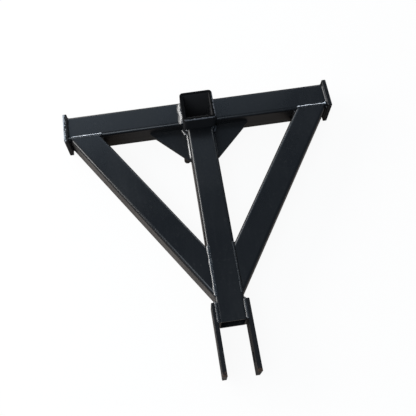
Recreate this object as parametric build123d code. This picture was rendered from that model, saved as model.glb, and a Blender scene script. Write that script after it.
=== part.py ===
from build123d import *
import math
import os

# Three point receiver hitch, a welded A frame of square tube, in millimetres.
# It lies on its back: X runs along the cross tube, +Y from the clevis to the
# cross tube, +Z up out of the receiver's mouth. The origin is at the centre
# of the bounding box's bottom.

# Frame tube: 2 in square with rolled corners.
tube_size = 50.8
tube_wall = 4.0
tube_corner = 6.0

# Receiver tube: 2 in square inside, so that a 2 in shank slides in.
receiver_bore = 50.8
receiver_wall = 6.35
receiver_corner = 7.0
receiver_bore_corner = 1.0
receiver_length = 82.0
receiver_lip = 0.9
hitch_pin_hole = 16.7

# Cross tube and the end plates that carry the lift pins.
cross_length = 513.0
plate_margin = 4.6
plate_thickness = 8.0
lift_pin_clearance = 1.776
edge_break = 0.8

# Captive nut for the lift pin's 7/8 in stud. Its corners clear the tube's inside
# by nut_gap, which makes it 33.3 across flats, with a 19.45 tapping bore.
nut_gap = 2.17
nut_height = 19.0
nut_wall = 6.93

# Mast, from the cross tube's near face to its open end.
mast_reach = 394.5

# Clevis ears: flat bar that laps the mast's end and stands out beyond it.
ear_thickness = 8.0
ear_lap = 36.5
ear_overhang = 88.5
ear_corner = 5.0
top_pin_hole = 19.5
top_pin_edge = 27.5

# Braces: gaps from their outer edge to the end plate and to the ear's top.
brace_foot_inset = 2.5
brace_tip_gap = 9.0

# Gussets between the mast and the cross tube.
gusset_leg = 72.0
gusset_thickness = 6.0
gusset_blunt = 3.0

# Round stub under the left gusset.
stub_diameter = 12.7
stub_reach = 55.0

# Weld bead sizes.
plate_bead = 4.0
frame_bead = 4.5
receiver_bead = 6.5
gusset_bead = 4.5
stub_bead = 3.0
bead_land = 0.4
bead_depth = 2.2
bead_sides = 12
bead_turn = 7.0

# Places that follow from the sizes above.
half_tube = tube_size / 2
receiver_size = receiver_bore + 2 * receiver_wall
plate_side = tube_size + 2 * plate_margin
half_receiver = receiver_size / 2
half_cross = cross_length / 2
far_reach = plate_side / 2
near_reach = half_tube + mast_reach + ear_overhang
cross_y = (near_reach - far_reach) / 2
face_y = cross_y - half_tube
mid_z = plate_side / 2
top_z = mid_z + half_tube
back_z = mid_z - half_tube
receiver_y = cross_y + half_tube - half_receiver
receiver_front_y = receiver_y - half_receiver
mouth_z = back_z + receiver_length
mast_end_y = face_y - mast_reach
ear_end_y = mast_end_y - ear_overhang
ear_top_y = mast_end_y + ear_lap
ear_length = ear_lap + ear_overhang
brace_tip_reach = mast_reach - ear_lap - brace_tip_gap
nut_corner = half_tube - tube_wall - nut_gap
nut_across_flats = nut_corner * math.sqrt(3)
nut_bore = nut_across_flats - 2 * nut_wall
lift_pin_hole = nut_bore + 2 * lift_pin_clearance
gusset_z = mid_z
gusset_top_z = gusset_z + gusset_thickness
far = 2 * (cross_length + near_reach)


def box_between(low, high):
    """Box from its lowest corner to its highest."""
    size = [b - a for a, b in zip(low, high)]
    centre = [(a + b) / 2 for a, b in zip(low, high)]
    return Pos(*centre) * Box(*size)


def tube_body(size, corner, start, direction, length):
    """Outer form of a square tube that runs from start along direction, one pair of sides level."""
    across = Vector(0, 0, 1).cross(direction)
    side = across if across.length > 0.5 else Vector(1, 0, 0)
    plane = Plane(origin=start, x_dir=side, z_dir=direction)
    return extrude(plane * RectangleRounded(size, size, corner), amount=length)


def square_tube(size, wall, corner, start, direction, length, inner_corner=None):
    """Square tube, open at both ends."""
    inside = max(corner - wall, 0.5) if inner_corner is None else inner_corner
    outer = tube_body(size, corner, start, direction, length)
    return outer - tube_body(size - 2 * wall, inside, start, direction, length)


def mirrored(shape):
    """The same piece on the other side of the mast."""
    return mirror(shape, about=Plane.YZ)


def flipped(shape):
    """The same piece on the other face of the frame."""
    return mirror(shape, about=Plane.XY.offset(mid_z))


def bead(start, end, radius, *joined):
    """Run of weld along a seam, twelve-sided, with everything that it joins cut away."""
    run = Vector(*end) - Vector(*start)
    plane = Plane(origin=start, z_dir=run.normalized()).rotated((0, 0, bead_turn))
    bar = extrude(plane * RegularPolygon(radius, bead_sides), amount=run.length)
    ends = bar.faces().sort_by(Axis(start, run))
    taper = min(radius * 0.6, run.length / 3)
    bar = chamfer(ends[0].edges() + ends[-1].edges(), length=taper)
    for piece in joined:
        bar = bar - piece
    return bar


def groups(*shapes):
    """Several solids of one node."""
    return Compound([solid for shape in shapes for solid in shape.solids()])


# Cross tube: two equal lengths, welded to the receiver's sides.
cross_part_length = half_cross - half_receiver
cross_start = Vector(half_receiver, cross_y, mid_z)
x_way = Vector(1, 0, 0)
cross_tube = square_tube(tube_size, tube_wall, tube_corner, cross_start, x_way, cross_part_length)
cross_body = tube_body(tube_size, tube_corner, cross_start, x_way, cross_part_length)

# Mast: from the receiver's wall to its open end.
mast_start = Vector(0, receiver_front_y, mid_z)
down_mast = Vector(0, -1, 0)
mast_length = receiver_front_y - mast_end_y
mast_tube = square_tube(tube_size, tube_wall, tube_corner, mast_start, down_mast, mast_length)
mast_body = tube_body(tube_size, tube_corner, mast_start, down_mast, mast_length)

# Receiver: open right through, with eased lips and the hitch pin's cross hole
# halfway up the part that stands clear of the frame.
receiver_start = Vector(0, receiver_y, back_z)
z_way = Vector(0, 0, 1)
receiver_body = tube_body(receiver_size, receiver_corner, receiver_start, z_way, receiver_length)
bore_body = tube_body(receiver_bore, receiver_bore_corner, receiver_start, z_way, receiver_length)
receiver_tube = receiver_body - bore_body
mouth_edges = receiver_tube.edges().filter_by_position(Axis.Z, mouth_z - 0.01, mouth_z + 0.01)
receiver_tube = chamfer(mouth_edges, length=receiver_lip)
hitch_pin_z = (top_z + mouth_z) / 2
pin_cut = Pos(0, receiver_y, hitch_pin_z) * Rot(0, 90, 0) * Cylinder(hitch_pin_hole / 2, 2 * receiver_size)
receiver_tube = receiver_tube - pin_cut

# End plate: square, drilled for the lift pin.
plate_x = half_cross + plate_thickness / 2
end_plate = Box(plate_thickness, plate_side, plate_side)
end_plate = chamfer(end_plate.edges(), length=edge_break)
end_plate = Pos(plate_x, cross_y, mid_z) * end_plate
lift_axis = Pos(plate_x, cross_y, mid_z) * Rot(0, 90, 0)
end_plate = end_plate - lift_axis * Cylinder(lift_pin_hole / 2, 2 * plate_thickness)

# Captive nut, flat against the inside of the end plate, with chamfered corners.
nut_profile = RegularPolygon(nut_corner, 6) - Circle(nut_bore / 2)
nut_blank = extrude(nut_profile, amount=nut_height)
nut_cone = Pos(0, 0, nut_height / 2) * Cone(nut_corner + nut_height / 2, nut_across_flats / 2, nut_height)
nut_blank = nut_blank & nut_cone
pin_nut = Pos(half_cross, cross_y, mid_z) * Rot(0, -90, 0) * nut_blank

# Brace: a tube between two points of its outer edge, cut to the cross tube's
# face and to the mast's side.
brace_foot_x = half_cross - brace_foot_inset
foot = Vector(brace_foot_x, face_y, mid_z)
tip = Vector(half_tube, face_y - brace_tip_reach, mid_z)
brace_way = (tip - foot).normalized()
brace_inward = Vector(brace_way.Y, -brace_way.X, 0)
brace_spare = 2 * tube_size
brace_start = foot + brace_inward * half_tube - brace_way * brace_spare
brace_length = (tip - foot).length + 2 * brace_spare
brace_room = box_between((half_tube, -far, -far), (far, face_y, far))
brace = square_tube(tube_size, tube_wall, tube_corner, brace_start, brace_way, brace_length) & brace_room
brace_body = tube_body(tube_size, tube_corner, brace_start, brace_way, brace_length) & brace_room
brace_across = tube_size / abs(brace_way.Y)
brace_down = tube_size / abs(brace_way.X)
brace_inner_x = brace_foot_x - brace_across
brace_inner_y = face_y - brace_tip_reach + brace_down

# Clevis ear: flat bar on the mast's side, top corners eased, drilled for the pin.
ear_mid_y = (ear_top_y + ear_end_y) / 2
ear = Pos(half_tube + ear_thickness / 2, ear_mid_y, mid_z) * Box(ear_thickness, ear_length, tube_size)
ear_upright = ear.edges().filter_by(Axis.X).group_by(Axis.Y)[-1]
ear = fillet(ear_upright, radius=ear_corner)
ear_outside = ear.faces().sort_by(Axis.X)[-1]
ear = chamfer(ear_outside.edges(), length=edge_break)
top_pin_y = ear_end_y + top_pin_edge
ear_body = ear
pin_drill = Pos(half_tube, top_pin_y, mid_z) * Rot(0, 90, 0) * Cylinder(top_pin_hole / 2, 4 * ear_thickness)
ear = ear - pin_drill

# Gusset: a blunt-tipped triangle in the corner, notched round the receiver.
gusset_outline = Polyline(
    (half_tube, receiver_front_y),
    (half_receiver, receiver_front_y),
    (half_receiver, face_y),
    (half_tube + gusset_leg, face_y),
    (half_tube + gusset_leg, face_y - gusset_blunt),
    (half_tube + gusset_blunt, face_y - gusset_leg),
    (half_tube, face_y - gusset_leg),
    close=True,
)
gusset_face = Plane.XY.offset(gusset_z) * make_face(gusset_outline)
gusset = extrude(gusset_face, amount=gusset_thickness)

# Round stub: stands between the gusset's underside and the frame's back plane.
stub_radius = stub_diameter / 2
stub_x = -half_tube - stub_radius
stub_y = face_y - stub_reach
round_stub = Pos(stub_x, stub_y, (back_z + gusset_z) / 2) * Cylinder(stub_radius, gusset_z - back_z)
stub_foot = round_stub.edges().filter_by(GeomType.CIRCLE).sort_by(Axis.Z)[0]
round_stub = chamfer(stub_foot, length=edge_break)

# Weld round the end plate: an even fillet all round the cross tube.
ring_plane = Plane(origin=(half_cross, cross_y, mid_z), x_dir=(0, 1, 0), z_dir=(-1, 0, 0))
ring_side = tube_size + 2 * plate_bead
ring_profile = RectangleRounded(ring_side, ring_side, tube_corner + plate_bead)
plate_weld = extrude(ring_plane * ring_profile, amount=plate_bead - bead_land, taper=45)
plate_weld = plate_weld - cross_body - brace_body

# Weld at the brace's foot: across the near and back faces, in the groove that the
# cross tube's rolled corner leaves, and up the open corner.
seam_z = top_z - bead_depth
groove = tube_corner / 2
foot_near = bead(
    (brace_inner_x - 2, face_y + groove, seam_z),
    (half_cross - plate_bead, face_y + groove, seam_z),
    frame_bead, cross_body, brace_body, plate_weld,
)
inner_corner_x = brace_inner_x - frame_bead / 4
foot_inner = bead(
    (inner_corner_x, face_y - frame_bead / 4, back_z + tube_corner),
    (inner_corner_x, face_y - frame_bead / 4, top_z - tube_corner),
    frame_bead, cross_body, brace_body, foot_near, flipped(foot_near),
)
foot_weld = groups(foot_near, flipped(foot_near), foot_inner)

# Weld at the brace's tip: along the mast's near and back edges, in the groove of
# its rolled corner, and up the open corner.
tip_y = face_y - brace_tip_reach
tip_near = bead(
    (half_tube - groove, brace_inner_y + 2, seam_z),
    (half_tube - groove, tip_y, seam_z),
    frame_bead, mast_body, brace_body,
)
tip_inner = bead(
    (half_tube + frame_bead / 4, brace_inner_y + frame_bead / 4, back_z + tube_corner),
    (half_tube + frame_bead / 4, brace_inner_y + frame_bead / 4, top_z - tube_corner),
    frame_bead, mast_body, brace_body, tip_near, flipped(tip_near),
)
tip_weld = groups(tip_near, flipped(tip_near), tip_inner)

# Weld between the receiver and the cross tube: a heavy bead across the near
# face, a lighter one across the back, and a short one up the corner.
side_near = bead(
    (half_receiver, face_y, top_z),
    (half_receiver, cross_y + half_tube - tube_corner / 2, top_z),
    receiver_bead, receiver_body, cross_body,
)
side_back = bead(
    (half_receiver, face_y + tube_corner, back_z),
    (half_receiver, cross_y + half_tube - tube_corner, back_z),
    frame_bead / 2, receiver_body, cross_body,
)
side_corner = bead(
    (half_receiver, face_y, gusset_top_z),
    (half_receiver, face_y, top_z - tube_corner / 2),
    frame_bead, receiver_body, cross_body, mast_body, side_near,
)
receiver_weld = groups(side_near, side_back, side_corner)

# Weld on the gusset: over the receiver's corner and down the mast's side on the
# near face, and along the cross tube on the back, where it doesn't show.
gusset_down = bead(
    (half_tube, receiver_front_y, gusset_top_z),
    (half_tube, face_y - gusset_leg + gusset_blunt, gusset_top_z),
    gusset_bead, gusset, mast_body, receiver_body, mirrored(round_stub),
)
gusset_turn = bead(
    (half_receiver + gusset_bead / 2, face_y - gusset_bead / 2, gusset_top_z),
    (half_tube + gusset_bead / 2, receiver_front_y - gusset_bead, gusset_top_z),
    gusset_bead, gusset, mast_body, cross_body, receiver_body, side_corner, gusset_down,
)
gusset_along = bead(
    (half_receiver, face_y, gusset_z),
    (half_tube + gusset_leg - gusset_blunt, face_y, gusset_z),
    gusset_bead, gusset, cross_body, receiver_body,
)
gusset_weld = groups(gusset_down, gusset_turn, gusset_along)

# Weld at the head of the mast, against the receiver's wall: up both sides from
# the gussets, and a light one across the back.
head_half = half_tube - tube_corner / 2
head_side = bead(
    (half_tube, receiver_front_y, gusset_top_z + gusset_bead / 2),
    (half_tube, receiver_front_y, top_z - tube_corner / 2),
    frame_bead, receiver_body, mast_body, gusset_down, gusset_turn,
)
head_back = bead(
    (-head_half, receiver_front_y, back_z),
    (head_half, receiver_front_y, back_z),
    frame_bead / 2, receiver_body, mast_body,
)
mast_head_weld = groups(head_side, mirrored(head_side), head_back)

# Weld between the ear and the mast: both long edges and the ear's top end.
ear_near = bead(
    (half_tube, mast_end_y + 1, seam_z),
    (half_tube, ear_top_y, seam_z),
    frame_bead, mast_body, ear_body, tip_near, brace_body,
)
ear_across = bead(
    (half_tube, ear_top_y, back_z + tube_corner),
    (half_tube, ear_top_y, top_z - tube_corner),
    frame_bead, mast_body, ear_body, brace_body, ear_near, flipped(ear_near), tip_weld,
)
ear_weld = groups(ear_near, flipped(ear_near), ear_across)

# Weld up the stub, in the corner between it and the mast.
stub_weld = bead(
    (-half_tube - stub_bead / 2, stub_y - stub_radius + stub_bead / 2, back_z + tube_corner),
    (-half_tube - stub_bead / 2, stub_y - stub_radius + stub_bead / 2, gusset_z),
    stub_bead, mast_body, round_stub, mirrored(gusset),
)

parts = {
    "mast_tube": mast_tube,
    "receiver_tube": receiver_tube,
    "mast_head_weld": mast_head_weld,
    "round_stub": round_stub,
    "round_stub_weld": groups(stub_weld),
}
for name, right_piece in {
    "cross_tube": cross_tube,
    "brace": brace,
    "end_plate": end_plate,
    "pin_nut": pin_nut,
    "clevis_ear": ear,
    "gusset": gusset,
    "end_plate_weld": plate_weld,
    "brace_foot_weld": foot_weld,
    "brace_tip_weld": tip_weld,
    "receiver_weld": receiver_weld,
    "gusset_weld": gusset_weld,
    "clevis_ear_weld": ear_weld,
}.items():
    parts[name + "_right"] = right_piece
    parts[name + "_left"] = mirrored(right_piece)

os.makedirs("parts", exist_ok=True)
for name, piece in parts.items():
    export_step(piece, os.path.join("parts", name + ".step"))
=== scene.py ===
# %% [markdown]
# A three point receiver hitch
#
# The real hitch is an A frame of square steel tube, welded up and sprayed with black gloss
# paint. Its solids already exist at their true size, so this script only gives them their finish
# and models what plain solids leave out: the weld beads with their ripples. The hitch lies on its
# back, X along the cross tube, Y up the mast, Z out of the receiver's mouth, in metres.

# %% Load the hitch and keep its box
import math

import bmesh
import bpy
from mathutils import Matrix, Vector, noise


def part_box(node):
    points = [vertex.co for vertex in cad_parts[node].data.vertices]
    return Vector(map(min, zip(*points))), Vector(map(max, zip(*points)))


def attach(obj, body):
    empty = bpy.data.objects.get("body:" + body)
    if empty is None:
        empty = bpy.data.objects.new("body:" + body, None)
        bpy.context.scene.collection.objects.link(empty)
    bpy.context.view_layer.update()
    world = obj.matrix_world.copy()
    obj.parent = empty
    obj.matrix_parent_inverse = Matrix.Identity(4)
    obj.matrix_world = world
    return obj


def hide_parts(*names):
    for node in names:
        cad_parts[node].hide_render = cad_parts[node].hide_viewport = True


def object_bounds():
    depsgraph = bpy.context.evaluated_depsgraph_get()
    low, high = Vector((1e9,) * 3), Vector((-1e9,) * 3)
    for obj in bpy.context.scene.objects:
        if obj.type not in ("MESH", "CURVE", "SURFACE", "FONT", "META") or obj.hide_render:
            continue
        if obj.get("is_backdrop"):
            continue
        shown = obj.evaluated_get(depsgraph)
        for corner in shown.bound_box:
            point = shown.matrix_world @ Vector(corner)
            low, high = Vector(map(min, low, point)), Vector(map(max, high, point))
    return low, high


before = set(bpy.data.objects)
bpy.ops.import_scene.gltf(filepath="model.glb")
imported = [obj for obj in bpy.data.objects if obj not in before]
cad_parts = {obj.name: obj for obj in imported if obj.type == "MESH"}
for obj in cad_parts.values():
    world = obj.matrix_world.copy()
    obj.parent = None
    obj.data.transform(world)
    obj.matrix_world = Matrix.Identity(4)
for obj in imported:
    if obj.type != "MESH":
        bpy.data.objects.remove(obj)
hitch_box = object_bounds()
print("hitch box", [tuple(round(v, 4) for v in corner) for corner in hitch_box])

# %% [markdown]
# Places on the hitch
#
# Every bead follows a seam between two pieces, so its place should come from those pieces. The
# box of each solid gives the seams as numbers, and no size of a solid is typed in twice. The
# mast and the braces are symmetrical, so the right side is enough, and the left is its mirror.

# %% Read the seams from the solids' boxes
cross_low, cross_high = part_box("cross_tube_right")
mast_low, mast_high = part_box("mast_tube")
receiver_low, receiver_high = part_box("receiver_tube")
brace_low, brace_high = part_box("brace_right")
ear_low, ear_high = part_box("clevis_ear_right")
plate_low, plate_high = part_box("end_plate_right")
gusset_low, gusset_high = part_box("gusset_right")
stub_low, stub_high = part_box("round_stub")

face_y = cross_low.y
near_z = cross_high.z
back_z = cross_low.z
middle_z = (near_z + back_z) / 2
half_tube = mast_high.x
tube_size = 2 * half_tube
receiver_middle = (receiver_low + receiver_high) / 2
half_receiver = receiver_high.x
print("frame tube is", round(1000 * tube_size, 1), "mm square")

# %% Find the braces' inner edges
brace_foot_x = brace_high.x
brace_slope = (brace_foot_x - half_tube) / (face_y - brace_low.y)
brace_slant = math.atan(brace_slope)
brace_inner_x = brace_foot_x - tube_size / math.cos(brace_slant)
brace_inner_y = brace_low.y + tube_size / math.sin(brace_slant)
print("brace leaves the mast at", round(math.degrees(brace_slant), 1), "degrees")

# %% [markdown]
# Tools for shader nodes
#
# A finish is a graph of small nodes, which could be joined by hand in the Shader Editor. In a
# script the same few joins come again and again, so each gets a short function. All of them take
# the node tree first, so they work in a material and inside a group alike, and each value may be
# a plain number or colour, or another node's output. Object coordinates give the place on the
# hitch in metres, and they stay with the hitch when it is moved.


# %% Tools that add one node and join it
def plug(tree, value, socket):
    """Set a socket to a plain value, or join another node's output to it."""
    if isinstance(value, bpy.types.NodeSocket):
        tree.links.new(value, socket)
    else:
        socket.default_value = value


def maths(tree, operation, *values):
    """Math node of one to three values."""
    node = tree.nodes.new("ShaderNodeMath")
    node.operation = operation
    for value, socket in zip(values, node.inputs):
        plug(tree, value, socket)
    return node.outputs[0]


def mix_colour(tree, factor, first, second):
    """Colour that goes from first to second as the factor goes from 0 to 1."""
    mix = tree.nodes.new("ShaderNodeMix")
    mix.data_type = "RGBA"
    plug(tree, factor, mix.inputs["Factor"])
    plug(tree, first, mix.inputs["A"])
    plug(tree, second, mix.inputs["B"])
    return mix.outputs["Result"]


def mix_shader(tree, factor, first, second):
    """Shader that goes from first to second as the factor goes from 0 to 1."""
    mix = tree.nodes.new("ShaderNodeMixShader")
    for value, socket in zip((factor, first, second), mix.inputs):
        plug(tree, value, socket)
    return mix.outputs[0]


# %% Tools that read a place on the hitch
def object_place(tree):
    """Object coordinates: the place on the hitch, in metres."""
    return tree.nodes.new("ShaderNodeTexCoord").outputs["Object"]


def off_centre(tree, vector, centre):
    """Distance of a place from a centre along X, Y and Z, as three outputs."""
    shift = tree.nodes.new("ShaderNodeVectorMath")
    shift.operation = "SUBTRACT"
    plug(tree, vector, shift.inputs[0])
    plug(tree, centre, shift.inputs[1])
    size = tree.nodes.new("ShaderNodeVectorMath")
    size.operation = "ABSOLUTE"
    plug(tree, shift.outputs["Vector"], size.inputs[0])
    parts = tree.nodes.new("ShaderNodeSeparateXYZ")
    plug(tree, size.outputs["Vector"], parts.inputs["Vector"])
    return parts.outputs


# %% [markdown]
# The floor
#
# A studio floor is pale paper. Stronger light would make it white and spoil the paint, so Light
# Path does it: the camera sees the floor glow white, reflections see a dim warm ground, and a
# diffuse share still takes the shadow of the hitch. No light reaches the floor under the
# receiver, so a dark patch takes the place of the white there.

# %% Make the floor
floor_half = 6.0
floor_mesh = bpy.data.meshes.new("floor")
floor_shape = bmesh.new()
bmesh.ops.create_grid(floor_shape, x_segments=1, y_segments=1, size=floor_half)
floor_shape.to_mesh(floor_mesh)
floor_shape.free()
floor = bpy.data.objects.new("floor", floor_mesh)
bpy.context.collection.objects.link(floor)
floor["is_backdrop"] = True
print("floor is", 2 * floor_half, "m square")

# %% Give the floor its paper
floor_seen = 0.93
floor_reflected = 0.10
white = (1, 1, 1, 1)
warm_ground = (0.95, 0.78, 0.64, 1)
pale_paper = (0.95, 0.92, 0.88, 1)
dim_paper = (0.30, 0.27, 0.25, 1)
dark_patch = (0.06, 0.06, 0.06, 1)

floor_paper = bpy.data.materials.new("floor_paper")
floor_paper.use_nodes = True
tree = floor_paper.node_tree
tree.nodes.clear()
rays = tree.nodes.new("ShaderNodeLightPath").outputs
mirrored = maths(tree, "MAXIMUM", rays["Is Glossy Ray"], rays["Is Transmission Ray"])
seen = maths(tree, "MULTIPLY", rays["Is Camera Ray"], floor_seen)
glow_share = maths(tree, "MULTIPLY_ADD", mirrored, floor_reflected, seen)
paper = tree.nodes.new("ShaderNodeBsdfDiffuse")
paper_tone = mix_colour(tree, rays["Is Camera Ray"], dim_paper, pale_paper)
plug(tree, paper_tone, paper.inputs["Color"])
glow = tree.nodes.new("ShaderNodeEmission")
glow.inputs["Strength"].default_value = 1.0
glow_tone = mix_colour(tree, rays["Is Camera Ray"], warm_ground, white)
plug(tree, glow_tone, glow.inputs["Color"])
lit_floor = mix_shader(tree, glow_share, paper.outputs[0], glow.outputs[0])
print("camera sees", floor_seen, "of the glow, reflections see", floor_reflected)

# %% Darken the floor under the receiver
gaps = off_centre(tree, object_place(tree), receiver_middle)
under = maths(tree, "LESS_THAN", maths(tree, "MAXIMUM", gaps["X"], gaps["Y"]), half_receiver)
shadow = tree.nodes.new("ShaderNodeBsdfDiffuse")
shadow.inputs["Color"].default_value = dark_patch
whole_floor = mix_shader(tree, under, lit_floor, shadow.outputs[0])
output = tree.nodes.new("ShaderNodeOutputMaterial")
plug(tree, whole_floor, output.inputs["Surface"])
floor_mesh.materials.append(floor_paper)
print("floor paper has", len(tree.nodes), "nodes")

# %% [markdown]
# The sky
#
# World light fills the shadows with a little blue, as the open sky does. It is dim, because the
# lamps have to shape the paint. The camera sees white in its place, again through Light Path.

# %% Make the sky
sky_strength = 0.23
sky_blue = (0.62, 0.79, 1.0, 1)
sky = bpy.data.worlds.new("sky")
bpy.context.scene.world = sky
sky.use_nodes = True
tree = sky.node_tree
tree.nodes.clear()
soft_sky = tree.nodes.new("ShaderNodeBackground")
soft_sky.inputs["Color"].default_value = sky_blue
soft_sky.inputs["Strength"].default_value = sky_strength
white_sky = tree.nodes.new("ShaderNodeBackground")
white_sky.inputs["Color"].default_value = white
white_sky.inputs["Strength"].default_value = 1.0
rays = tree.nodes.new("ShaderNodeLightPath").outputs
whole_sky = mix_shader(tree, rays["Is Camera Ray"], soft_sky.outputs[0], white_sky.outputs[0])
output = tree.nodes.new("ShaderNodeOutputWorld")
plug(tree, whole_sky, output.inputs["Surface"])
print("sky strength", sky_strength)

# %% [markdown]
# Lamps
#
# Black paint shows mostly what it mirrors, so each lamp stands where an edge needs its line. Area
# lamps do this best, because they mirror as soft rectangles. The large one on the left draws the
# left edges and the beads, high enough that no side mirrors it into a level view. A strip at the
# back left draws the right brace's inner edge, and one at the back right the left brace's. A wide
# dim panel at the back gives the near faces their soft gradient, and one in front and overhead
# softens the cross tube's front corner.


# %% Hang the lamps
def soft_box(name, place, target, width, height, watts, colour=(1, 1, 1)):
    """Rectangular area lamp that stands at a place and faces a target, in metres and watts."""
    lamp = bpy.data.lights.new(name, "AREA")
    lamp.shape = "RECTANGLE"
    lamp.size = width
    lamp.size_y = height
    lamp.energy = watts
    lamp.color = colour
    holder = bpy.data.objects.new(name, lamp)
    holder.location = place
    aim = Vector(target) - Vector(place)
    holder.rotation_euler = aim.to_track_quat("-Z", "Y").to_euler()
    bpy.context.collection.objects.link(holder)
    print(name, "gives", watts, "W")


warm_white, cool_white = (1.0, 0.99, 0.97), (0.90, 0.95, 1.0)
back_blue, top_blue = (0.68, 0.83, 1.0), (0.80, 0.90, 1.0)
soft_box("left_box", (-2.05, 0.97, 0.95), (0, 0.05, 0), 2.4, 0.9, 64, warm_white)
soft_box("back_strip", (-0.95, 2.10, 0.75), (0, 0.2, 0), 1.6, 0.45, 11)
soft_box("back_panel", (-0.55, 1.95, 1.90), (-0.1, 0.2, 0), 2.6, 1.1, 10, back_blue)
soft_box("top_panel", (-0.70, -0.85, 2.00), (0, 0, 0), 2.0, 1.2, 26, top_blue)
soft_box("right_strip", (1.10, 1.51, 0.70), (-0.1, 0.05, 0), 0.9, 0.35, 6.0, cool_white)

# %% [markdown]
# Camera
#
# The camera stands where the photograph was taken from, above the clevis and a little to the
# left. Its place was fitted to the straight edges of the frame. A small shift puts the hitch
# where it is in the picture, and keeps the perspective as it is.

# %% Set up the camera
picture_size = 416
axis_x, axis_y = 190, 205
camera = bpy.data.cameras.new("camera")
camera.sensor_width = 36.0
camera.lens = 50.33
camera.shift_x = (picture_size / 2 - axis_x) / picture_size
camera.shift_y = (axis_y - picture_size / 2) / picture_size
eye = bpy.data.objects.new("camera", camera)
eye.location = (-0.0824, -0.3790, 1.0385)
eye.rotation_euler = (0.4050, 0.0213, -0.1437)
bpy.context.collection.objects.link(eye)
bpy.context.scene.camera = eye
bpy.context.scene.view_settings.view_transform = "Standard"
print("camera is", round(eye.location.length, 2), "m from the middle")

# %% [markdown]
# Black gloss paint
#
# Painted steel is a dark base under a smooth clear surface. A single grey would look like
# plastic, so a few effects break it up: the fine orange peel that sprayed paint dries to, soft
# changes of tone and sheen where the coat is thick or thin, dust with pale stripes that are a
# painted reflection, and edge strips that are worn paint on some pieces and a painted highlight
# on others.
# They sit in two shader groups that read Object coordinates, so they keep their scale on every
# piece, and each paint places them with its own values.


# %% Group for the orange peel
def new_group(name, inputs, outputs):
    """Empty shader group with named inputs (name, kind, value) and outputs (name, kind)."""
    group = bpy.data.node_groups.new(name, "ShaderNodeTree")
    for label, kind, value in inputs:
        socket = group.interface.new_socket(label, in_out="INPUT", socket_type=kind)
        if value is not None:
            socket.default_value = value
    for label, kind in outputs:
        group.interface.new_socket(label, in_out="OUTPUT", socket_type=kind)
    return group, group.nodes.new("NodeGroupInput"), group.nodes.new("NodeGroupOutput")


def noise_node(tree, vector, scale, detail, distortion=0.0):
    """Noise texture that reads a vector, and gives its value."""
    cloud = tree.nodes.new("ShaderNodeTexNoise")
    plug(tree, vector, cloud.inputs["Vector"])
    plug(tree, scale, cloud.inputs["Scale"])
    plug(tree, detail, cloud.inputs["Detail"])
    plug(tree, distortion, cloud.inputs["Distortion"])
    return cloud.outputs["Fac"]


peel_inputs = [("Vector", "NodeSocketVector", None), ("Scale", "NodeSocketFloat", 420.0)]
peel_outputs = [("Height", "NodeSocketFloat")]
orange_peel, inside, outside = new_group("orange_peel", peel_inputs, peel_outputs)
sag_share = 1.6
surface = inside.outputs["Vector"]
fine = noise_node(orange_peel, surface, scale=inside.outputs["Scale"], detail=1.5)
sag = noise_node(orange_peel, surface, scale=38.0, detail=2.0)
peel_height = maths(orange_peel, "MULTIPLY_ADD", sag, sag_share, fine)
plug(orange_peel, peel_height, outside.inputs["Height"])
print("orange_peel has", len(orange_peel.nodes), "nodes")

# %% [markdown]
# Thin and thick paint
#
# The second group starts with the coat itself. It is never even, so a slow noise mixes two
# tones: a paler one where the coat is thin, a darker one where it is thick. The group's inputs
# also hold what the next steps need: the dust with its painted reflection stripes, and the edge
# strips of worn paint and painted highlights.


# %% Start the coat
def range_node(tree, value, low, high, new_low, new_high):
    """Map Range of a value, from low and high to new_low and new_high, and no further."""
    ramp = tree.nodes.new("ShaderNodeMapRange")
    plug(tree, value, ramp.inputs["Value"])
    plug(tree, low, ramp.inputs["From Min"])
    plug(tree, high, ramp.inputs["From Max"])
    plug(tree, new_low, ramp.inputs["To Min"])
    plug(tree, new_high, ramp.inputs["To Max"])
    return ramp.outputs["Result"]


coat_inputs = [
    ("Vector", "NodeSocketVector", None),
    ("Thin Colour", "NodeSocketColor", (0.02, 0.02, 0.02, 1)),
    ("Thick Colour", "NodeSocketColor", (0.01, 0.01, 0.01, 1)),
    ("Dust Colour", "NodeSocketColor", (0.12, 0.11, 0.10, 1)),
    ("Dust And Stripes", "NodeSocketFloat", 0.1),
    ("Smooth", "NodeSocketFloat", 0.22),
    ("Dull", "NodeSocketFloat", 0.4),
    ("Edge", "NodeSocketVector", (10.0, 10.0, 10.0)),
    ("Edge Width", "NodeSocketFloat", 0.002),
    ("Raggedness", "NodeSocketFloat", 1.0),
    ("Scuff And Highlight Colour", "NodeSocketColor", (0.1, 0.1, 0.1, 1)),
]
coat_outputs = [("Color", "NodeSocketColor"), ("Roughness", "NodeSocketFloat")]
paint_coat, inside, outside = new_group("paint_coat", coat_inputs, coat_outputs)
wanted = inside.outputs
spot = wanted["Vector"]
patch = noise_node(paint_coat, spot, scale=9.0, detail=4.0, distortion=0.3)
thick = range_node(paint_coat, patch, 0.35, 0.65, 0.0, 1.0)
colour = mix_colour(paint_coat, thick, wanted["Thin Colour"], wanted["Thick Colour"])
print("paint_coat takes", ", ".join(label for label, kind, value in coat_inputs))

# %% [markdown]
# Specks of dust and painted reflection stripes
#
# Specks of dust gather where drifts of it lie, so one noise is multiplied by a slower one. On
# the sides of the tubes pale level lines in the dust colour are a painted reflection of the
# ground, in stripes: the same noise draws them when its X and Y are squeezed to almost nothing.
# The lines stop below the near faces, which would show them as bands.


# %% Let dust settle and paint the reflection stripes
def height_of(tree, vector):
    """Z of a place."""
    parts = tree.nodes.new("ShaderNodeSeparateXYZ")
    plug(tree, vector, parts.inputs["Vector"])
    return parts.outputs["Z"]


def stretched(tree, vector, scale):
    """A place scaled along X, Y and Z, which draws a pattern out where the scale is small."""
    mapping = tree.nodes.new("ShaderNodeMapping")
    plug(tree, vector, mapping.inputs["Vector"])
    plug(tree, scale, mapping.inputs["Scale"])
    return mapping.outputs["Vector"]


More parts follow.
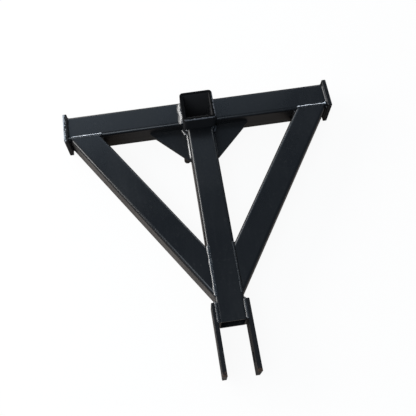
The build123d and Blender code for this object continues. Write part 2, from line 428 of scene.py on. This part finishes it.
lines_end, lines_full = near_z - 0.004, near_z - 0.006
speck = noise_node(paint_coat, spot, scale=160.0, detail=6.0)
speck = range_node(paint_coat, speck, 0.56, 0.72, 0.0, 1.0)
drift = noise_node(paint_coat, spot, scale=22.0, detail=3.0)
drift = range_node(paint_coat, drift, 0.42, 0.70, 0.0, 1.0)
dust = maths(paint_coat, "MULTIPLY", speck, drift)
dust = maths(paint_coat, "MULTIPLY", dust, wanted["Dust And Stripes"])
colour = mix_colour(paint_coat, dust, colour, wanted["Dust Colour"])
# The level lines are a painted reflection: pale stripes in the dust colour on the lower sides.
level = stretched(paint_coat, spot, (0.01, 0.01, 1.0))
line = noise_node(paint_coat, level, scale=170.0, detail=2.0)
line = range_node(paint_coat, line, 0.46, 0.56, 0.0, 0.8)
spot_z = height_of(paint_coat, spot)
below = range_node(paint_coat, spot_z, lines_full, lines_end, 1.0, 0.0)
painted_stripes = maths(paint_coat, "MULTIPLY", line, below)
painted_stripes = maths(paint_coat, "MULTIPLY", painted_stripes, wanted["Dust And Stripes"])
colour = mix_colour(paint_coat, painted_stripes, colour, wanted["Dust Colour"])
print("painted reflection stripes end at Z", round(lines_end, 4))

# %% [markdown]
# Edge strips and sheen
#
# Paint wears through on top edges first, and the same strip in a pale colour also serves as a
# painted highlight along an edge. Two edges of a piece, one along X and one along Y, are given
# by the planes that meet in them: a point is on an edge when it is near the top plane and near
# either side plane. Noise makes the strip ragged. The sheen goes from smooth to dull with the
# coat's thickness, and fine rubbing along Y adds to it.

# %% Paint the edge strips and finish the coat
gaps = off_centre(paint_coat, spot, wanted["Edge"])
nearest = maths(paint_coat, "MINIMUM", gaps["X"], gaps["Y"])
nearest = maths(paint_coat, "MAXIMUM", nearest, gaps["Z"])
nearest = maths(paint_coat, "DIVIDE", nearest, wanted["Edge Width"])
chip = noise_node(paint_coat, spot, scale=330.0, detail=3.0)
chip = range_node(paint_coat, chip, 0.35, 0.65, -0.6, 0.9)
chip = maths(paint_coat, "MULTIPLY", chip, wanted["Raggedness"])
ragged = maths(paint_coat, "ADD", nearest, chip)
# The edge strip is worn paint on some pieces and a painted highlight on others.
scuff = range_node(paint_coat, ragged, 0.75, 1.0, 1.0, 0.0)
colour = mix_colour(paint_coat, scuff, colour, wanted["Scuff And Highlight Colour"])
plug(paint_coat, colour, outside.inputs["Color"])
streak = stretched(paint_coat, spot, (1.0, 0.12, 1.0))
rub = noise_node(paint_coat, streak, scale=210.0, detail=5.0)
rub = range_node(paint_coat, rub, 0.5, 0.8, 0.0, 0.35)
dull = maths(paint_coat, "ADD", thick, rub)
sheen = range_node(paint_coat, dull, 0.0, 1.0, wanted["Smooth"], wanted["Dull"])
plug(paint_coat, sheen, outside.inputs["Roughness"])
print("paint_coat has", len(paint_coat.nodes), "nodes")

# %% [markdown]
# One paint from both groups
#
# All the paints of the hitch are one kind of paint with other values, so one function builds
# them: the coat gives the colour and the roughness, and the orange peel the bumps. Specular and
# varnish are the same all over a piece, so they are set on the shader's own sockets.

# %% Tool that mixes a paint
black_tones = ((0.0042, 0.0046, 0.0056), (0.0030, 0.0033, 0.0040))
rusty_tones = ((0.020, 0.013, 0.010), (0.008, 0.006, 0.005))
peel_depth = 0.0004
varnish_roughness = 0.08


# The dust value sets the dust specks and also the painted reflection stripes.
def painted(name, dust, smooth, dull, peel, peel_scale, specular, coat=0.0, tones=black_tones):
    """Paint from both groups, whose tones are linear: for a thin and for a thick coat."""
    material = bpy.data.materials.new(name)
    material.use_nodes = True
    tree = material.node_tree
    shader = tree.nodes["Principled BSDF"]
    shader.inputs["Specular IOR Level"].default_value = specular
    shader.inputs["Coat Weight"].default_value = coat
    shader.inputs["Coat Roughness"].default_value = varnish_roughness
    place = object_place(tree)
    body = tree.nodes.new("ShaderNodeGroup")
    body.name = "coat"
    body.node_tree = paint_coat
    thin, thick = ((*tone, 1) for tone in tones)
    values = {"Vector": place, "Thin Colour": thin, "Thick Colour": thick, "Dust And Stripes": dust}
    for label, value in {**values, "Smooth": smooth, "Dull": dull}.items():
        plug(tree, value, body.inputs[label])
    plug(tree, body.outputs["Color"], shader.inputs["Base Color"])
    plug(tree, body.outputs["Roughness"], shader.inputs["Roughness"])
    skin = tree.nodes.new("ShaderNodeGroup")
    skin.node_tree = orange_peel
    plug(tree, place, skin.inputs["Vector"])
    plug(tree, peel_scale, skin.inputs["Scale"])
    bump = tree.nodes.new("ShaderNodeBump")
    plug(tree, peel, bump.inputs["Strength"])
    plug(tree, peel_depth, bump.inputs["Distance"])
    plug(tree, skin.outputs["Height"], bump.inputs["Height"])
    plug(tree, bump.outputs["Normal"], shader.inputs["Normal"])
    print("mixed", name)
    return material


# %% [markdown]
# The paints of the solids
#
# The tubes carry the glossiest paint. Flat bar came rougher from the mill, so its paint dried
# duller, the stub shows a little rust, and the receiver is matt. Each list of values is the state
# of a surface, and pieces of the same bar share it.

# %% Mix the paints of the solids
# Each dust value also sets how strong the painted reflection stripes are.
gloss = {"dust": 0.10, "smooth": 0.24, "dull": 0.36, "peel": 0.05, "peel_scale": 420.0}
satin = {"dust": 0.12, "smooth": 0.38, "dull": 0.52, "peel": 0.25, "peel_scale": 300.0}
rusty = {"dust": 0.20, "smooth": 0.38, "dull": 0.52, "peel": 0.30, "peel_scale": 300.0}
matt = {"dust": 0.0, "smooth": 0.50, "dull": 0.60, "peel": 0.10, "peel_scale": 420.0}
tube_paint = painted("tube_paint", **gloss, specular=0.52)
bar_paint = painted("bar_paint", **satin, specular=0.22)
plate_paint_with_highlight = painted("plate_paint_with_highlight", **satin, specular=0.22)
ear_paint = painted("ear_paint", **satin, specular=0.22)
gusset_paint = painted("gusset_paint", **satin, specular=0.30)
stub_paint = painted("stub_paint", **rusty, specular=0.22, tones=rusty_tones)
socket_paint = painted("socket_paint", **matt, specular=0.05)

# %% [markdown]
# Paints of the weld beads
#
# Paint gathers on a bead and dries glossy, and a wet-looking bead is what makes a weld read as a
# weld. A clear coat over a rough peel gives the glitter. Beads that face the lamp need less of
# it, so there are five paints, from the brightest on the gussets to the dullest on the left end
# plate.

# %% Mix the beads' paints
wet = {"dust": 0.05, "smooth": 0.20, "dull": 0.30, "peel": 0.60, "peel_scale": 620.0}
sleek = {"dust": 0.05, "smooth": 0.22, "dull": 0.32, "peel": 0.30, "peel_scale": 620.0}
dry = {"dust": 0.05, "smooth": 0.40, "dull": 0.55, "peel": 0.50, "peel_scale": 500.0}
damp = {"dust": 0.05, "smooth": 0.30, "dull": 0.45, "peel": 0.70, "peel_scale": 500.0}
heavy = {"dust": 0.05, "smooth": 0.24, "dull": 0.36, "peel": 0.60, "peel_scale": 500.0}
bead_paint = painted("bead_paint", **wet, specular=1.0, coat=0.9)
foot_bead_paint = painted("foot_bead_paint", **sleek, specular=0.6)
dull_bead_paint = painted("dull_bead_paint", **dry, specular=0.15)
plate_bead_paint = painted("plate_bead_paint", **damp, specular=0.6, coat=0.15)
rough_bead_paint = painted("rough_bead_paint", **heavy, specular=0.8, coat=0.2)

# %% [markdown]
# Worn edges and painted highlights
#
# Handling has worn the receiver's mouth, and the ears' tips have begun to rust. The left end
# plate's top edge gets a painted highlight of the lamp on the left, in pale grey, and the crest
# of the braces' foot beads a painted highlight in near white. A large number in place of a
# plane means that there is no edge on that side.


# %% Wear the edges and paint their highlights
def edge_wear_and_highlight(material, edge, width, tone, raggedness=1.0):
    """Paint a strip along two top edges, at the planes in edge: worn paint on some pieces, a
    painted highlight on others.
    """
    body = material.node_tree.nodes["coat"]
    body.inputs["Edge"].default_value = edge
    body.inputs["Edge Width"].default_value = width
    body.inputs["Scuff And Highlight Colour"].default_value = (*tone, 1)
    body.inputs["Raggedness"].default_value = raggedness
    print(material.name, "has its edge strip over", round(1000 * width, 1), "mm")


nowhere = 10.0
crest_gap, crest_rise, crest_height = 0.0032, 0.0052, 0.0006
mouth_edge = (half_receiver, receiver_low.y, receiver_high.z)
plate_highlight_edge = (-plate_high.x, nowhere, plate_high.z)
foot_highlight_edge = (plate_low.x - crest_gap, face_y + crest_rise, near_z + crest_height)
ear_tip_edge = (nowhere, ear_low.y, ear_high.z)
worn_grey, plate_highlight_grey = (0.12, 0.122, 0.13), (0.38, 0.40, 0.42)
foot_highlight_white, rust = (0.85, 0.87, 0.90), (0.045, 0.026, 0.017)
edge_wear_and_highlight(socket_paint, mouth_edge, width=0.0022, tone=worn_grey, raggedness=0.6)
# The left end plate's top edge: a painted highlight of the lamp on the left, in pale grey.
edge_wear_and_highlight(plate_paint_with_highlight, plate_highlight_edge, width=0.0038, tone=plate_highlight_grey)
# The foot beads' crest: a painted highlight, in near white.
edge_wear_and_highlight(foot_bead_paint, foot_highlight_edge, width=0.0014, tone=foot_highlight_white, raggedness=0.35)
edge_wear_and_highlight(ear_paint, ear_tip_edge, width=0.0060, tone=rust)

# %% [markdown]
# The receiver's walls
#
# The bore is painted a paler grey than the outside, a painted light that lifts the shade deep
# in the socket; the outside is a dark grey, and the rim is painted near black. The distance
# from the bore's axis tells inside from outside, and the height tells the rim.

# %% Paint the receiver's bore, outside and rim
outside_tone = (0.018, 0.018, 0.019, 1)
# The bore's paler tone is painted light, which lifts the shade inside the socket.
bore_painted_light_tone = (0.042, 0.040, 0.040, 1)
rim_tone = (0.0022, 0.0022, 0.0024, 1)
bore_full, bore_end = half_receiver - 0.0025, half_receiver - 0.0015
rim_start, rim_full = receiver_high.z - 0.0012, receiver_high.z - 0.0004
tree = socket_paint.node_tree
place = object_place(tree)
gaps = off_centre(tree, place, receiver_middle)
farthest = maths(tree, "MAXIMUM", gaps["X"], gaps["Y"])
in_bore = range_node(tree, farthest, bore_full, bore_end, 1.0, 0.0)
wall_tone = mix_colour(tree, in_bore, outside_tone, bore_painted_light_tone)
on_rim = range_node(tree, height_of(tree, place), rim_start, rim_full, 0.0, 1.0)
socket_tone = mix_colour(tree, on_rim, wall_tone, rim_tone)
for label in ("Thin Colour", "Thick Colour"):
    plug(tree, socket_tone, tree.nodes["coat"].inputs[label])
print("socket_paint has", len(tree.nodes), "nodes")

# %% [markdown]
# Plain steel for the captive nuts
#
# The nuts sit inside the closed tube and can only be seen down the lift pin holes. They were
# never sprayed, so they show bare steel: metallic, slightly brown, and mottled, which one noise
# gives to both its colour and its sheen.

# %% Make the nut's steel
nut_steel = bpy.data.materials.new("nut_steel")
nut_steel.use_nodes = True
tree = nut_steel.node_tree
shader = tree.nodes["Principled BSDF"]
shader.inputs["Metallic"].default_value = 1.0
mottle = noise_node(tree, object_place(tree), scale=120.0, detail=4.0)
steel_tint = tree.nodes.new("ShaderNodeValToRGB")
steel_tint.color_ramp.elements[0].color = (0.22, 0.20, 0.18, 1)
steel_tint.color_ramp.elements[1].color = (0.48, 0.47, 0.45, 1)
plug(tree, mottle, steel_tint.inputs["Fac"])
plug(tree, steel_tint.outputs["Color"], shader.inputs["Base Color"])
plug(tree, range_node(tree, mottle, 0.3, 0.7, 0.3, 0.5), shader.inputs["Roughness"])
print("nut_steel has", len(tree.nodes), "nodes")

# %% [markdown]
# A finish for every solid
#
# The solids keep their meshes, and only their material slots are filled. Left and right pieces
# share a finish, so the side is cut off the name before it is looked up; the one exception is
# the left end plate, whose top edge carries a painted highlight.

# %% Give every solid its finish
finish_of = {
    "cross_tube": tube_paint,
    "mast_tube": tube_paint,
    "brace": tube_paint,
    "receiver_tube": socket_paint,
    "end_plate": bar_paint,
    "clevis_ear": ear_paint,
    "gusset": gusset_paint,
    "round_stub": stub_paint,
    "pin_nut": nut_steel,
}
for name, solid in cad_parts.items():
    piece = name.removesuffix("_left").removesuffix("_right")
    finish = plate_paint_with_highlight if name == "end_plate_left" else finish_of.get(piece, bead_paint)
    if not solid.data.materials:
        solid.data.materials.append(finish)
    for index in range(len(solid.material_slots)):
        solid.material_slots[index].material = finish
print("finished", len(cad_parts), "solids")

# %% [markdown]
# Weld beads
#
# A weld cools in small overlapping pools, so the bead is a row of crescents. One round section is
# drawn with create_circle and extruded a little at a time along the seam. Each new ring is scaled
# by the ripple, and a slow noise makes the bead wander as a hand does. The crown, which faces out
# of the corner, is flattened a little and runs behind the sides, and that turns straight rings
# into crescents. Only a real mesh gives the broken highlights of a weld: a bump can't change the
# outline.

# %% Tool that draws a plain bead as rings
ring_sides = 20
rings_per_ripple = 5


def rings_along(shape, start, run, radius, count):
    """Straight tube of count steps along a run, as a list of its rings."""
    turn = run.to_track_quat("Z", "Y").to_matrix().to_4x4()
    circle = bmesh.ops.create_circle(shape, cap_ends=False, radius=radius, segments=ring_sides)
    ring = circle["verts"]
    bmesh.ops.transform(shape, matrix=Matrix.Translation(start) @ turn, verts=ring)
    rings = [ring]
    edges = list({edge for vert in ring for edge in vert.link_edges})
    for _ in range(count):
        made = bmesh.ops.extrude_edge_only(shape, edges=edges)["geom"]
        ring = [item for item in made if isinstance(item, bmesh.types.BMVert)]
        edges = [item for item in made if isinstance(item, bmesh.types.BMEdge)]
        bmesh.ops.translate(shape, vec=run / count, verts=ring)
        rings.append(ring)
    return rings


print("a bead's ring has", ring_sides, "sides, a ripple", rings_per_ripple, "rings")

# %% [markdown]
# From rings to a weld
#
# A welder's hand sets the bead's rhythm. The ripples are a saw wave along the seam, steep where
# each pool ends. Smooth noise, read at a quick and at a slow pace, makes the bead swell and sway.
# The beads of a piece read the noise on separate tracks, so that neighbours differ, and each run
# of the script gives the same weld. The ends are rounded off, as a pool is when the arc stops.

# %% Tool that turns the rings into a weld
least_pitch, pitch_share = 0.0008, 0.5
least_depth, depth_size = 0.05, 0.0002
ripple_steepness, crescent_share = 1.6, 0.5
rhythm_drift, drift_pace = 0.35, 190
quick_swell, quick_pace, quick_row = 0.08, 160, 1.7
slow_swell, slow_pace, slow_row = 0.30, 75, 4.3
sway_share, sway_pace, sway_row = 0.14, 90, 6.1
track_step = 0.37
blunt_end = 0.3
least_rings = 8


def weld_bead(shape, start, end, radius, crown, flat, seed):
    """Rippled bead from start to end, with its crown that way out of the corner."""
    pitch = least_pitch + pitch_share * radius
    ripple_depth = least_depth + depth_size / radius
    start, end, crown = Vector(start), Vector(end), Vector(crown).normalized()
    run = end - start
    along_run = run.normalized()
    sideways = crown.cross(along_run)
    count = max(least_rings, round(run.length / pitch * rings_per_ripple))
    rings = rings_along(shape, start, run, radius, count)
    track = track_step * seed
    for number, ring in enumerate(rings):
        share = number / count
        along = share * run.length
        phase = along / pitch + rhythm_drift * math.sin(drift_pace * along + seed)
        ripple = 1 - ripple_depth * (phase % 1.0) ** ripple_steepness
        quick = noise.noise((track, quick_row, quick_pace * along))
        slow = noise.noise((track, slow_row, slow_pace * along))
        wander = quick_swell * quick + slow_swell * slow
        end_share = min(1.0, blunt_end + min(share, 1 - share) * run.length / radius)
        blunt = math.sqrt(1 - (1 - end_share) ** 2)
        lean = noise.noise((track, sway_row, sway_pace * along))
        sway = sideways * radius * sway_share * lean
        centre = start + run * share
        for vert in ring:
            out = (vert.co - centre) * (ripple + wander) * blunt
            rise = max(0.0, out.dot(crown))
            behind = along_run * pitch * crescent_share * rise / radius
            out = out - crown * rise * (1 - flat) + sway - behind
            vert.co = centre + out
    for ring in (rings[0], rings[-1]):
        rim = [edge for edge in {e for vert in ring for e in vert.link_edges} if edge.is_boundary]
        bmesh.ops.contextual_create(shape, geom=rim)


print("swell", quick_swell + slow_swell, "and sway", sway_share, "of the radius at most")

# %% [markdown]
# From beads to pieces
#
# One weld node holds several runs of weld, so its beads share a mesh. Each run is written as its
# start, end, radius and crown. Mirroring the seams, and not the mesh, keeps the faces turned
# out.


# %% Tools for a piece of several beads
def bead_piece(name, seams, paint=bead_paint, flat=0.85):
    """One object of several beads, which stands for the plain weld solid of the same name."""
    shape = bmesh.new()
    for number, (start, end, radius, crown) in enumerate(seams):
        weld_bead(shape, start, end, radius, crown, flat, number + len(name))
    bmesh.ops.recalc_face_normals(shape, faces=shape.faces)
    for face in shape.faces:
        face.smooth = True
    mesh = bpy.data.meshes.new(name + "_bead")
    shape.to_mesh(mesh)
    shape.free()
    mesh.materials.append(paint)
    piece = bpy.data.objects.new(name + "_bead", mesh)
    bpy.context.collection.objects.link(piece)
    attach(piece, "root")
    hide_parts(name)
    print(piece.name, "has", len(mesh.polygons), "faces")


def on_left(seams):
    """The same seams on the left of the mast."""
    flip = Vector((-1, 1, 1))
    return [
        (Vector(start) * flip, Vector(end) * flip, radius, Vector(crown) * flip)
        for start, end, radius, crown in seams
    ]


def bead_pair(name, seams, paint=bead_paint, flat=0.85):
    """The same beads on both sides of the mast."""
    bead_piece(name + "_right", seams, paint, flat)
    bead_piece(name + "_left", on_left(seams), paint, flat)


# %% [markdown]
# Beads at the feet of the braces
#
# Where a tube's rolled corner meets a square cut end, a groove is left, and the weld fills it.
# So these beads lie half a corner in from the edge, along the near and the back faces, and a
# third one climbs the open corner on the inside of the triangle. On the right the bead starts
# further in, and turns up beside the end plate.

# %% Find the grooves
frame_bead = 0.0043
foot_bead = 0.0036
bead_sink = 0.0022
rolled_corner = 0.006
groove = rolled_corner / 2
near_seam = near_z - bead_sink
back_seam = back_z + bead_sink
climb_low = back_z + rolled_corner
climb_high = near_z - rolled_corner
out_near, out_back = (0, 0, 1), (0, 0, -1)
print("grooves are", round(1000 * groove, 1), "mm in from each edge")

# %% Lay the beads of the feet
plate_leg = 0.004
corner_bead = 0.0030
corner_lift = 0.001
foot_y = face_y + groove
foot_end = plate_low.x - plate_leg
foot_corner = (brace_inner_x - corner_lift, face_y - corner_lift)


def foot_seams(overlap):
    """Beads of one brace's foot; the long ones pass its inner corner by overlap."""
    foot_start = brace_inner_x - overlap
    return [
        ((foot_start, foot_y, near_seam), (foot_end, foot_y, near_seam), foot_bead, out_near),
        ((foot_start, foot_y, back_seam), (foot_end, foot_y, back_seam), foot_bead, out_back),
        ((*foot_corner, climb_low), (*foot_corner, climb_high), corner_bead, (-1, -1, 0)),
    ]


right_overlap, left_overlap = -0.0035, 0.002
turn_bead = 0.0032
turn_lap = 0.001
turn_gap, turn_rise, turn_reach = 0.0015, 0.005, 0.009
turn_x, turn_y = plate_low.x - turn_gap, foot_y + turn_rise
turn_start = (foot_end - turn_lap, foot_y + turn_lap, near_seam)
turn_end = (turn_x + turn_lap, turn_y + turn_reach, near_seam)
foot_turn = [
    (turn_start, (turn_x, turn_y, near_seam), turn_bead, out_near),
    ((turn_x, turn_y - turn_lap, near_seam), turn_end, turn_bead, out_near),
]
bead_piece("brace_foot_weld_right", foot_seams(right_overlap) + foot_turn, foot_bead_paint)
bead_piece("brace_foot_weld_left", on_left(foot_seams(left_overlap)), foot_bead_paint)

# %% [markdown]
# Beads at the tips of the braces
#
# The brace's tip runs out along the mast, so its bead fills the groove down the mast's rolled
# corner. The right one is small and duller, the left one full and bright.

# %% Lay the beads of the tips
small_tip_bead = 0.0034
tip_overrun = 0.002
tip_x = half_tube - groove
tip_low, tip_high = brace_low.y, brace_inner_y + tip_overrun
tip_corner = (half_tube + corner_lift, brace_inner_y + corner_lift)


def tip_seams(size):
    """Beads of one brace's tip, which lie deeper in the groove the smaller they are."""
    near, back = near_z - bead_sink * frame_bead / size, back_z + bead_sink * frame_bead / size
    return [
        ((tip_x, tip_high, near), (tip_x, tip_low, near), size, out_near),
        ((tip_x, tip_high, back), (tip_x, tip_low, back), size, out_back),
        ((*tip_corner, climb_low), (*tip_corner, climb_high), size, (1, 1, 0)),
    ]


bead_piece("brace_tip_weld_right", tip_seams(small_tip_bead), plate_bead_paint)
bead_piece("brace_tip_weld_left", on_left(tip_seams(frame_bead)))

# %% [markdown]
# Beads round the receiver
#
# The receiver carries the whole load, so it gets the heaviest beads, across the near face of the
# cross tube. Shorter ones climb its corners, and a thin one closes its back. The left one was
# laid on thick and leans out over the tube, so it gets a size and a lean of its own.

# %% Lay the beads of the receiver
back_bead = 0.0022
gusset_top = gusset_high.z
side_end = cross_high.y - groove
climb_end = near_z - groove
under_start = (half_receiver, face_y + rolled_corner, back_z)
under_end = (half_receiver, cross_high.y - rolled_corner, back_z)
corner_low = (half_receiver, face_y, gusset_top)
corner_top = (half_receiver, face_y, climb_end)


def receiver_seams(size, lean):
    """Beads of one side of the receiver: the near one is size thick and leans out that far."""
    lean_x = half_receiver + lean
    return [
        ((lean_x, face_y, near_z), (lean_x, side_end, near_z), size, (0.6, 0, 0.8)),
        (under_start, under_end, back_bead, out_back),
        (corner_low, corner_top, frame_bead, (1, -1, 0)),
    ]


heavy_bead, thick_bead, thick_lean = 0.0056, 0.0098, 0.002
bead_piece("receiver_weld_right", receiver_seams(heavy_bead, 0.0), dull_bead_paint, flat=0.5)
thick_seams = on_left(receiver_seams(thick_bead, thick_lean))
bead_piece("receiver_weld_left", thick_seams, rough_bead_paint, flat=0.4)

# %% [markdown]
# Beads of the mast's head and the gussets
#
# The mast butts against the receiver, with a bead up each side and one across the back. On top
# of each gusset a bead runs down the mast's side, and a short one turns round the receiver's
# corner to meet it. The one along the cross tube is on the gusset's back.

# %% Lay the beads of the mast's head
head_y = mast_high.y
head_side = [
    ((half_tube, head_y, gusset_top), (half_tube, head_y, climb_end), frame_bead, (1, -1, 0)),
]
head_left, head_right = (groove - half_tube, head_y, back_z), (half_tube - groove, head_y, back_z)
head_back = [(head_left, head_right, back_bead, out_back)]
bead_piece("mast_head_weld", head_side + on_left(head_side) + head_back)

# %% Lay the beads of the gussets
gusset_bead = 0.0044
half_bead = gusset_bead / 2
round_start = (half_receiver + half_bead, face_y - half_bead, gusset_top)
round_end = (half_tube + half_bead, head_y - gusset_bead, gusset_top)
down_end = (half_tube, gusset_low.y + groove, gusset_top)
along_start = (half_receiver, face_y, gusset_low.z)
along_end = (gusset_high.x - groove, face_y, gusset_low.z)
gusset_seams = [
    ((half_tube, head_y, gusset_top), down_end, gusset_bead, (0.62, 0, 0.78)),
    (round_start, round_end, gusset_bead, (1, -1, 1)),
    (along_start, along_end, gusset_bead, (0, -1, -1)),
]
bead_pair("gusset_weld", gusset_seams, flat=0.65)

# %% [markdown]
# Beads of the clevis
#
# Each ear laps the mast's side, and is welded along its near and back edges and across its top.

# %% Lay the beads of the ears
ear_bead = 0.0036
ear_foot, ear_top = mast_low.y + 0.001, ear_high.y
ear_seams = [
    ((half_tube, ear_foot, near_seam), (half_tube, ear_top, near_seam), ear_bead, out_near),
    ((half_tube, ear_foot, back_seam), (half_tube, ear_top, back_seam), ear_bead, out_back),
    ((half_tube, ear_top, climb_low), (half_tube, ear_top, climb_high), frame_bead, (1, 1, 0)),
]
bead_pair("clevis_ear_weld", ear_seams, rough_bead_paint)

# %% [markdown]
# Beads of the end plates
#
# A plate's bead runs all round the tube, in four straight runs that meet at the rolled corners.
# One run is worked out, and a quarter turn about the tube's axis gives the next.

# %% Lay the beads of the end plates
plate_bead = 0.0030
plate_y = (plate_low.y + plate_high.y) / 2
plate_middle = Vector((plate_low.x, plate_y, middle_z))
flat_half = half_tube - rolled_corner
ring_seams = []
for quarter in range(4):
    spin = Matrix.Rotation(quarter * math.pi / 2, 3, "X")
    side_start = plate_middle + spin @ Vector((0, -flat_half, half_tube))
    side_stop = plate_middle + spin @ Vector((0, flat_half, half_tube))
    ring_seams.append((side_start, side_stop, plate_bead, spin @ Vector((-1, 0, 1))))
bead_piece("end_plate_weld_right", ring_seams, plate_bead_paint)
bead_piece("end_plate_weld_left", on_left(ring_seams), dull_bead_paint)

# %% [markdown]
# Bead of the stub
#
# The stub is held by one short bead up the mast's side, just below it.

# %% Lay the bead of the stub
stub_bead = 0.0028
stub_inset, stub_drop = 0.0015, 0.0048
stub_place = (stub_high.x - stub_inset, (stub_low.y + stub_high.y) / 2 - stub_drop)
stub_seam = ((*stub_place, climb_low), (*stub_place, stub_high.z), stub_bead, (-1, -1, 0))
bead_piece("round_stub_weld", [stub_seam])

# %% [markdown]
# How far the finish grows
#
# The looks must not make the hitch larger than its solids, so how far the high corner of the
# whole box reaches past the solids' box is printed, in millimetres.

# %% Print how far the box grew
visual_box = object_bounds()
grown = [round(1000 * (b - a), 2) for a, b in zip(hitch_box[1], visual_box[1])]
print("grown by, in mm:", grown)
